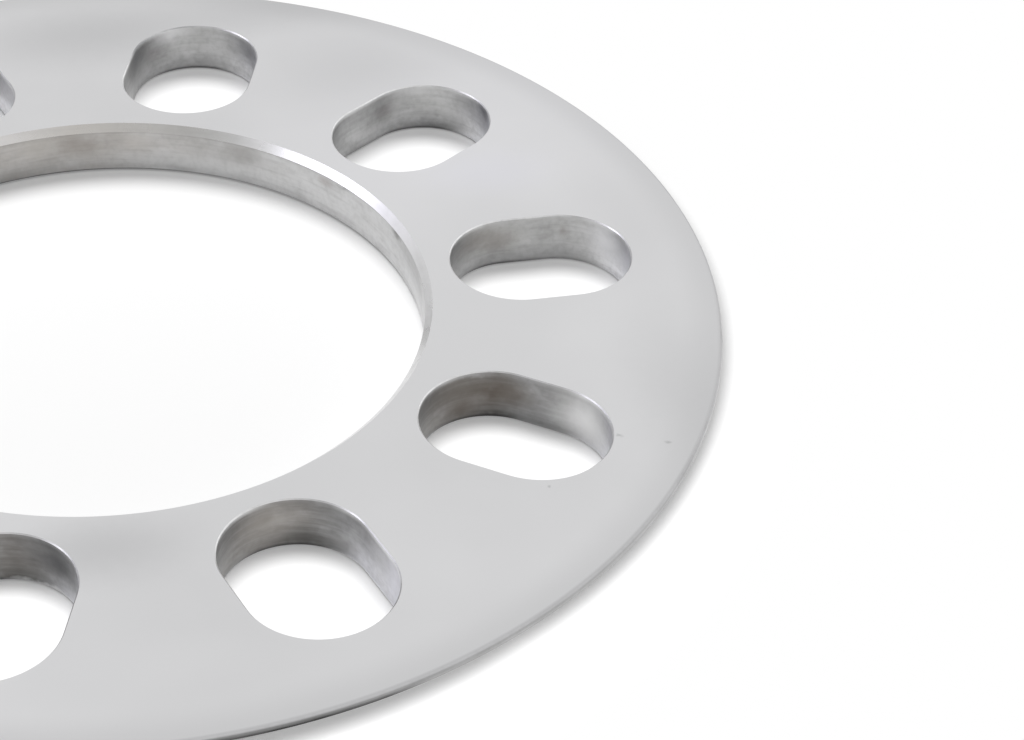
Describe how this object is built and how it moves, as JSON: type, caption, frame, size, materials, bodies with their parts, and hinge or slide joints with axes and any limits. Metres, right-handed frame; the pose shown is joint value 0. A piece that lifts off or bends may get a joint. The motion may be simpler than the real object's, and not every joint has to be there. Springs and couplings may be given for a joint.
{
  "type": "wheel spacer",
  "caption": "Flat aluminium wheel spacer: a ring plate with a chamfered hub bore and radial stud slots, clamped between hub and wheel to move the wheel outwards.",
  "frame": {"origin": "centre of the hub bore on the hub face, the flat face that the plate lies on", "axes": "+Z along the hub bore's axis, from the hub face to the wheel face; +X along the middle line of one stud slot"},
  "size_m": [0.1664, 0.1664, 0.0076],
  "materials": {
    "spacer_plate": "satin machined faces, duller slot and bore walls"
  },
  "bodies": {
    "root": {"spacer_plate": "spacer_plate"}
  },
  "joints": []
}
